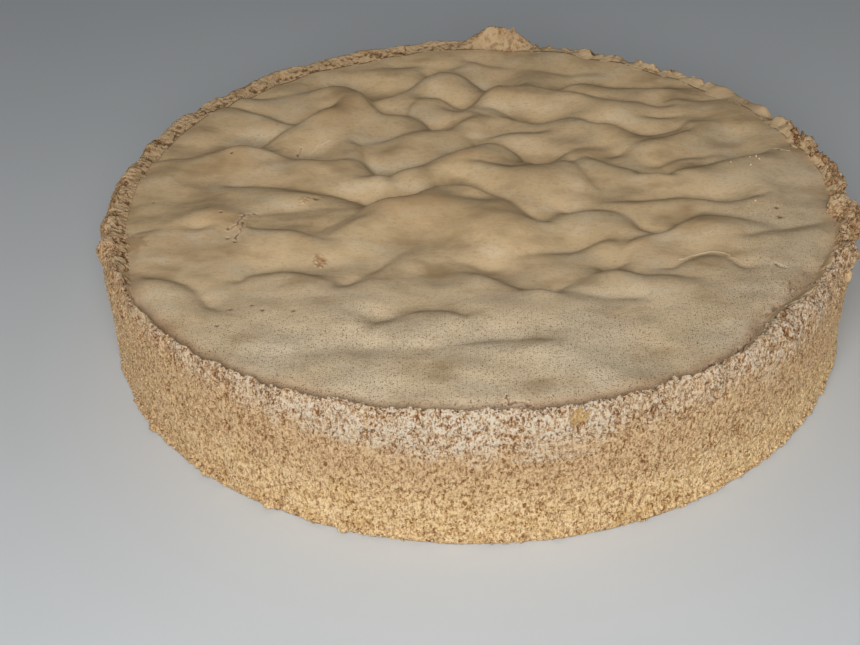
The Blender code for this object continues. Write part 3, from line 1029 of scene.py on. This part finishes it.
# Tears of the skin: half width, depth, lift of the lips, and the way each runs
skinTears = [
    (0.32, 0.5, 0.05, [(-64.6, 40.5), (-65.6, 36)]),
    (0.22, 0.1, 0.12, [(-61.5, 38), (-58.1, 41.6), (-53.9, 43.1)]),
    (0.3, 0.3, 0.12, [(-75.6, -13.2), (-78.2, -15.8), (-79.2, -20.4), (-80.3, -23.9), (-82.8, -26.3)]),
    (0.28, 0.3, 0.12, [(-78, -21.4), (-78.2, -26.4), (-79.3, -29.3), (-79.6, -32.8)]),
    (0.22, 0.2, 0.08, [(98.5, -67), (98.9, -59.4), (99.5, -62.8), (100.8, -63.6)]),
    (0.25, 0.2, 0.28, [(66.4, -44.7), (71.7, -42.2), (77.1, -41.1), (81.3, -43), (84.5, -45)]),
    (0.4, 0.7, 0.2, [(83.7, -88.1), (79.5, -93.4), (77.7, -94.8), (76.7, -98.3), (74.7, -101)]),
    (0.5, 0.6, 0.2, [(70.1, -102), (67.8, -103.7), (63.5, -109.1), (59.2, -111.1), (50.9, -114.3)]),
    (0.9, 1, 0, [(94.2, -71.3), (90.7, -76.6), (88.2, -82.6), (88.1, -87), (85.7, -91.3)]),
    (0.3, 0.5, 0.1, [(9, -117.8), (9.4, -121), (11.2, -120.5), (13.5, -120), (15.7, -121.2)]),
    (0.35, 0.5, 0.05, [(110.3, 29.6), (112.3, 26.9), (114.6, 25.3)]),
    (0.55, 0.6, 0.02, [(96.4, -49.9), (98.1, -51.2), (99.3, -52.4)]),
]

# Small pits of the skin: x, y, half width, depth
skinPits = [
    (-55.1, -3, 0.8, 0.9), (-88.3, 24.5, 0.5, 0.5), (-86.2, -17.6, 0.5, 0.5),
    (-112.2, -4.9, 0.5, 0.5), (-82.4, -31.3, 0.6, 0.6), (-79.6, -33.3, 0.6, 0.6),
    (-82.9, -25.8, 0.5, 0.6), (-75.8, -72.2, 0.6, 0.5), (-65.6, -74, 0.6, 0.5),
    (-69.3, -70.8, 0.5, 0.4), (-55.7, -75.4, 0.5, 0.4), (-78.8, -81.4, 0.5, 0.4),
    (102.9, -14.2, 0.7, 0.6), (103.3, -19.1, 0.8, 0.7), (-123.8, -28.1, 1, 0.8),
]

# Blisters and rough patches: x, y, half widths across and along, lift, roughness, browning
skinPatches = [
    (-58.9, -5.1, 2.6, 2.4, 0.35, 0.4, 0.4),
    (-50.8, -43.3, 3, 4, 0.1, 0.5, 0.8),
    (-115.5, -32, 7, 8, -0.3, 0, 0.6),
    (-117.5, -41.3, 3, 3, 0.1, 0.5, 0.7),
    (-79, -22, 3.5, 9, 0.1, 0.15, 0.2),
    (-70.8, 38.2, 2, 1.4, 0.1, 0.1, 0),
]


def toDisc(across, along):
    # Concentric map of the unit square to the unit disc: ring share and bearing
    wide = np.abs(across) > np.abs(along)
    lead = np.where(wide, across, along)
    safe = np.where(lead == 0.0, 1.0, lead)
    turn = math.pi / 4.0
    bearing = np.where(wide, turn * along / safe, 2.0 * turn - turn * across / safe)
    bearing = np.where(lead < 0.0, bearing + math.pi, bearing)
    return np.abs(lead), np.where(lead == 0.0, 0.0, bearing)


def toSkin(flat):
    # Plan place of each vertex of the flat grid
    ring, bearing = toDisc(flat[:, 0], flat[:, 1])
    skinRadius, _, _ = rimAt(np.degrees(bearing))
    radius = ring * (skinRadius + skinSettings["tuckIn"])
    return radius * np.cos(bearing), radius * np.sin(bearing), skinRadius


def distanceToLine(x, y, line):
    nearest = np.full_like(x, 1e3)
    for (x0, y0), (x1, y1) in zip(line, line[1:]):
        length = (x1 - x0) ** 2 + (y1 - y0) ** 2
        share = clipped(((x - x0) * (x1 - x0) + (y - y0) * (y1 - y0)) / length)
        nearest = np.minimum(nearest, np.hypot(x - x0 - share * (x1 - x0), y - y0 - share * (y1 - y0)))
    return nearest


def distanceToMarks(x, y):
    nearest = np.full_like(x, 1e3)
    for *_, line in skinTears:
        nearest = np.minimum(nearest, distanceToLine(x, y, line))
    for pitX, pitY, *_ in skinPits:
        nearest = np.minimum(nearest, np.hypot(x - pitX, y - pitY))
    for patchX, patchY, across, along, *_ in skinPatches:
        reach = np.hypot(x - patchX, y - patchY) - max(across, along)
        nearest = np.minimum(nearest, reach)
    return nearest


def makeSkin():
    form = skinSettings
    skin = bmesh.new()
    bmesh.ops.create_grid(skin, x_segments=form["cells"], y_segments=form["cells"], size=1.0)
    middles = np.array([(edge.verts[0].co + edge.verts[1].co) / 2.0 for edge in skin.edges])
    x, y, _ = toSkin(middles)
    near = distanceToMarks(x, y) < form["markReach"]
    fine = [edge for edge, isNear in zip(skin.edges, near) if isNear]
    bmesh.ops.subdivide_edges(skin, edges=fine, cuts=2, use_grid_fill=True)
    made = bmesh.ops.extrude_edge_only(skin, edges=openEdges(skin))["geom"]
    lower = [item for item in made if isinstance(item, bmesh.types.BMVert)]
    bmesh.ops.translate(skin, verts=lower, vec=(0.0, 0.0, -1.0))
    bmesh.ops.edgeloop_fill(skin, edges=openEdges(skin))
    bmesh.ops.recalc_face_normals(skin, faces=skin.faces)

    mesh = toMesh("skin", skin)
    flat = getPlaces(mesh)
    x, y, skinRadius = toSkin(flat)
    relief = foldRelief(x, y)
    height = skinHeight(x, y, skinRadius)
    height += form["ripple"] * planNoise(x, y, form["rippleLength"], 31)
    height += form["grain"] * planNoise(x, y, form["grainLength"], 32)

    # Marks: torn lines, pits and rough blisters; tears and pits are painted dark, as shade in them
    tearAndPitShade = np.zeros_like(x)
    flake = np.zeros_like(x)
    broken = 0.45 + 0.55 * smoothStep((planNoise(x, y, 2.2, 38) + 0.2) / 0.4)
    wobbleX = x + form["tearWobble"] * planNoise(x, y, form["tearWobbleLength"], 34)
    wobbleY = y + form["tearWobble"] * planNoise(x, y, form["tearWobbleLength"], 39)
    for halfWidth, depth, lift, line in skinTears:
        reach = distanceToLine(wobbleX, wobbleY, line)
        share = bell(reach / halfWidth)
        if lift > depth:
            height += lift * share
            flake = np.maximum(flake, 0.75 * share * broken)
        else:
            lips = bell((reach - 2.0 * halfWidth) / halfWidth)
            height = height - depth * share + lift * lips
            tearAndPitShade = np.maximum(tearAndPitShade, share * broken * min(0.8, 0.4 / halfWidth))
            flake = np.maximum(flake, 0.45 * lips * broken)
    for pitX, pitY, halfWidth, depth in skinPits:
        share = bell(np.hypot(x - pitX, y - pitY) / halfWidth)
        height -= depth * share
        tearAndPitShade = np.maximum(tearAndPitShade, share)
    rough = planNoise(x, y, 0.9, 35) + 0.7 * planNoise(x, y, 0.5, 36)
    patch = np.zeros_like(x)
    for patchX, patchY, across, along, lift, roughness, browning in skinPatches:
        reach = np.hypot((x - patchX) / across, (y - patchY) / along)
        reach += 0.35 * planNoise(x, y, 2.4, 37)
        share = smoothStep(1.8 * (1.0 - reach))
        height += share * (lift + roughness * rough)
        speckled = clipped(0.6 - 0.9 * rough * (roughness > 0.0))
        patch = np.maximum(patch, share * browning * speckled)
    ease = form["lowestEase"]
    height = form["lowest"] + ease * np.logaddexp(0.0, (height - form["lowest"]) / ease)
    height = np.where(flat[:, 2] < -0.5, form["underside"], height)
    toEdge = np.maximum(skinRadius - np.hypot(x, y), 0.0)
    frontness = smoothStep((-y - 30.0) / 70.0)
    rightness = smoothStep((x - 65.0) / 45.0) * smoothStep((45.0 - y) / 50.0)
    patchy = planNoise(x, y, 24.0, 33)
    # The skin is painted paler towards the front, as painted light where the lamp in front falls
    # strongest, with pale patches there and at the right front
    paintedFrontLight = 0.85 * smoothStep((-y - 25.0) / 95.0) + 0.5 * patchy * frontness + 0.45 * rightness
    rightPores = 0.7 * smoothStep((x - 60) / 35) * smoothStep((10 - y) / 30)
    grooveShadeShare = 0.05 + 0.4 * frontness
    values = {
        # Hilltops browned, less at the front, where the skin is painted paler as lit
        "crest": clipped(0.10 * relief + 0.08 + 0.35 * patchy) * (1.0 - 0.5 * frontness),
        "paintedFrontLight": clipped(paintedFrontLight),
        # A brown band along the skin's edge, and a darker line in the groove where the skin dips under
        # the lip, most at the front: partly browning, partly painted shade
        "edge": bell(toEdge / 4.0) * (0.1 + 0.7 * frontness),
        "groove": grooveShadeShare * bell(toEdge / (1.2 + 1.3 * frontness)),
        "pores": clipped(frontness * 1.1 + rightPores + 0.2 * patchy),
        "patch": patch,
        "flake": flake,
        "tearAndPitShade": tearAndPitShade,
    }
    placeVertices(mesh, np.stack((x, y, height), axis=-1))
    setValues(mesh, values)
    newPiece("bakedSkin", mesh, skinMaterial)


makeSkin()
print("skin made")


def makeFloor():
    floor = bmesh.new()
    bmesh.ops.create_grid(floor, x_segments=1, y_segments=1, size=3.0)
    bmesh.ops.translate(floor, verts=floor.verts, vec=(0.0, 0.0, -0.0003))
    mesh = toMesh("floor", floor)
    shader = Shader("paleFloor")
    grain = shader.noise(shader.millimetres(), 60.0)
    colour = shader.blend(grain, toLinear(217, 221, 223), toLinear(222, 226, 228))
    mesh.materials.append(shader.finish(colour, 0.8, grain, 0.02 * mm))
    piece = addObject("floor", mesh)


studio = {
    "keyPlace": (-0.05, -0.62, 0.42),
    "keySize": 0.35,
    "keyPower": 3.85,
    "fill": 0.10,
    "sideLights": [((0.8, -0.22, 0.09), 1.2), ((-0.8, -0.2, 0.09), 0.75)],  # low, one at each side
    "sideSize": (0.4, 0.12),
}

camera = {
    "place": (0.0, -0.4395, 0.2954),
    "lens": 60.0,
    "sensor": 36.0,
    "yaw": -2.166,
    "pitch": 34.725,
    "roll": -1.627,
}


def addLight(name, place, size, power):
    light = bpy.data.lights.new(name, "AREA")
    light.shape = "RECTANGLE"
    light.size, light.size_y = size
    light.energy = power
    lamp = addObject(name, light)
    lamp.location = place
    aim = Vector((0.0, 0.0, 0.03)) - lamp.location
    lamp.rotation_euler = aim.to_track_quat("-Z", "Y").to_euler()


def makeStudio():
    addLight("key", studio["keyPlace"], (studio["keySize"], studio["keySize"]), studio["keyPower"])
    for number, (place, power) in enumerate(studio["sideLights"]):
        addLight("side%d" % number, place, studio["sideSize"], power)
    world = bpy.data.worlds.new("studio")
    world.use_nodes = True
    backdrop = world.node_tree.nodes["Background"]
    backdrop.inputs["Color"].default_value = (0.95, 0.97, 1.0, 1.0)
    backdrop.inputs["Strength"].default_value = studio["fill"]
    bpy.context.scene.world = world
    bpy.context.scene.view_settings.view_transform = "Standard"


def makeCamera():
    yaw, pitch, roll = (math.radians(camera[name]) for name in ("yaw", "pitch", "roll"))
    ahead = Vector((math.sin(yaw) * math.cos(pitch), math.cos(yaw) * math.cos(pitch), -math.sin(pitch)))
    right = Vector((math.cos(yaw), -math.sin(yaw), 0.0))
    up = right.cross(ahead)
    turnedRight = right * math.cos(roll) + up * math.sin(roll)
    turnedUp = up * math.cos(roll) - right * math.sin(roll)
    lens = bpy.data.cameras.new("camera")
    lens.lens = camera["lens"]
    lens.sensor_width = camera["sensor"]
    lens.clip_start = 0.01
    eye = addObject("camera", lens)
    turning = Matrix((turnedRight, turnedUp, -ahead)).transposed().to_4x4()
    eye.matrix_world = Matrix.Translation(camera["place"]) @ turning
    bpy.context.scene.camera = eye


makeFloor()
makeStudio()
makeCamera()
print("studio made")
